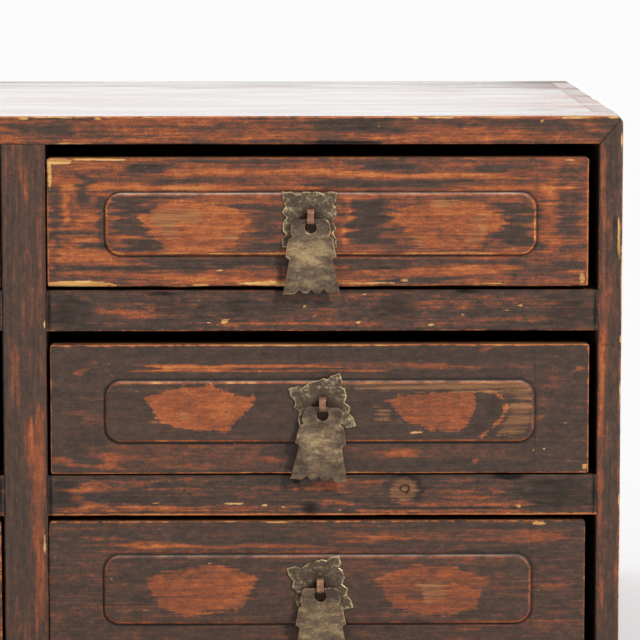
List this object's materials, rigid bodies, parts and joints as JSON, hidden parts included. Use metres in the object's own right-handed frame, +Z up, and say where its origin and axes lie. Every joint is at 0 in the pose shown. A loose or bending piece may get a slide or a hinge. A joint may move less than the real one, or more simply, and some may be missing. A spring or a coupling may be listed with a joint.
{
  "type": "tabletop chest of drawers",
  "caption": "Low wide tabletop chest: drawers in columns between rails and a post, a dovetailed case mitred at the front, and hanging brass drop pulls.",
  "frame": {"origin": "centre of the case's footprint, on its bottom face", "axes": "+X to the viewer's right, -Y out of the drawer fronts, +Z up"},
  "size_m": [0.598, 0.3379, 0.288],
  "materials": {
    "lacquered_wood": "old dark lacquer over softwood, worn through to red and honey wood",
    "raw_wood": "planed softwood, unfinished and darkened with age",
    "brass": "aged sheet brass with brown patina, rubbed bright on the edges",
    "iron": "forged and dark, slightly rusted"
  },
  "bodies": {
    "case": {"top_board": "lacquered_wood", "bottom_board": "lacquered_wood", "left_side": "lacquered_wood", "right_side": "lacquered_wood", "post": "lacquered_wood", "upper_rail_left": "lacquered_wood", "upper_rail_right": "lacquered_wood", "lower_rail_left": "lacquered_wood", "lower_rail_right": "lacquered_wood", "partition": "raw_wood", "side_runners_left": "raw_wood", "side_runners_right": "raw_wood", "partition_runners_left": "raw_wood", "partition_runners_right": "raw_wood", "bottom_guides": "raw_wood", "back_plank_upper": "raw_wood", "back_plank_lower": "raw_wood", "back_nails": "iron"},
    "drawer_top_right": {"drawer_top_right_front": "lacquered_wood", "drawer_top_right_sides": "raw_wood", "drawer_top_right_back": "raw_wood", "drawer_top_right_bottom": "raw_wood", "drawer_top_right_pull_plate": "brass", "drawer_top_right_pull_pin": "brass"},
    "drop_top_right": {"drawer_top_right_pull_drop": "brass"},
    "drawer_middle_right": {"drawer_middle_right_front": "lacquered_wood", "drawer_middle_right_sides": "raw_wood", "drawer_middle_right_back": "raw_wood", "drawer_middle_right_bottom": "raw_wood", "drawer_middle_right_pull_plate": "brass", "drawer_middle_right_pull_pin": "brass"},
    "drop_middle_right": {"drawer_middle_right_pull_drop": "brass"},
    "drawer_bottom_right": {"drawer_bottom_right_front": "lacquered_wood", "drawer_bottom_right_sides": "raw_wood", "drawer_bottom_right_back": "raw_wood", "drawer_bottom_right_bottom": "raw_wood", "drawer_bottom_right_pull_plate": "brass", "drawer_bottom_right_pull_pin": "brass"},
    "drop_bottom_right": {"drawer_bottom_right_pull_drop": "brass"},
    "drawer_top_left": {"drawer_top_left_front": "lacquered_wood", "drawer_top_left_sides": "raw_wood", "drawer_top_left_back": "raw_wood", "drawer_top_left_bottom": "raw_wood", "drawer_top_left_pull_plate": "brass", "drawer_top_left_pull_pin": "brass"},
    "drop_top_left": {"drawer_top_left_pull_drop": "brass"},
    "drawer_middle_left": {"drawer_middle_left_front": "lacquered_wood", "drawer_middle_left_sides": "raw_wood", "drawer_middle_left_back": "raw_wood", "drawer_middle_left_bottom": "raw_wood", "drawer_middle_left_pull_plate": "brass", "drawer_middle_left_pull_pin": "brass"},
    "drop_middle_left": {"drawer_middle_left_pull_drop": "brass"},
    "drawer_bottom_left": {"drawer_bottom_left_front": "lacquered_wood", "drawer_bottom_left_sides": "raw_wood", "drawer_bottom_left_back": "raw_wood", "drawer_bottom_left_bottom": "raw_wood", "drawer_bottom_left_pull_plate": "brass", "drawer_bottom_left_pull_pin": "brass"},
    "drop_bottom_left": {"drawer_bottom_left_pull_drop": "brass"}
  },
  "joints": [
    {"name": "top_right_slide", "type": "slide", "parent": "case", "child": "drawer_top_right", "axis": [0, -1, 0], "range_m": [0, 0.22]},
    {"name": "top_right_drop_swing", "type": "hinge", "parent": "drawer_top_right", "child": "drop_top_right", "pos_m": [0.14301, -0.17029, 0.23712], "axis": [-1, 0, 0], "range_deg": [-6, 100]},
    {"name": "middle_right_slide", "type": "slide", "parent": "case", "child": "drawer_middle_right", "axis": [0, -1, 0], "range_m": [0, 0.22]},
    {"name": "middle_right_drop_swing", "type": "hinge", "parent": "drawer_middle_right", "child": "drop_middle_right", "pos_m": [0.14891, -0.17029, 0.1429], "axis": [-1, 0, 0], "range_deg": [-6, 100]},
    {"name": "bottom_right_slide", "type": "slide", "parent": "case", "child": "drawer_bottom_right", "axis": [0, -1, 0], "range_m": [0, 0.22]},
    {"name": "bottom_right_drop_swing", "type": "hinge", "parent": "drawer_bottom_right", "child": "drop_bottom_right", "pos_m": [0.14779, -0.17029, 0.051], "axis": [-1, 0, 0], "range_deg": [-6, 100]},
    {"name": "top_left_slide", "type": "slide", "parent": "case", "child": "drawer_top_left", "axis": [0, -1, 0], "range_m": [0, 0.22]},
    {"name": "top_left_drop_swing", "type": "hinge", "parent": "drawer_top_left", "child": "drop_top_left", "pos_m": [-0.14633, -0.17029, 0.2364], "axis": [-1, 0, 0], "range_deg": [-6, 100]},
    {"name": "middle_left_slide", "type": "slide", "parent": "case", "child": "drawer_middle_left", "axis": [0, -1, 0], "range_m": [0, 0.22]},
    {"name": "middle_left_drop_swing", "type": "hinge", "parent": "drawer_middle_left", "child": "drop_middle_left", "pos_m": [-0.14781, -0.17029, 0.14162], "axis": [-1, 0, 0], "range_deg": [-6, 100]},
    {"name": "bottom_left_slide", "type": "slide", "parent": "case", "child": "drawer_bottom_left", "axis": [0, -1, 0], "range_m": [0, 0.22]},
    {"name": "bottom_left_drop_swing", "type": "hinge", "parent": "drawer_bottom_left", "child": "drop_bottom_left", "pos_m": [-0.1485, -0.17029, 0.051], "axis": [-1, 0, 0], "range_deg": [-6, 100]}
  ]
}
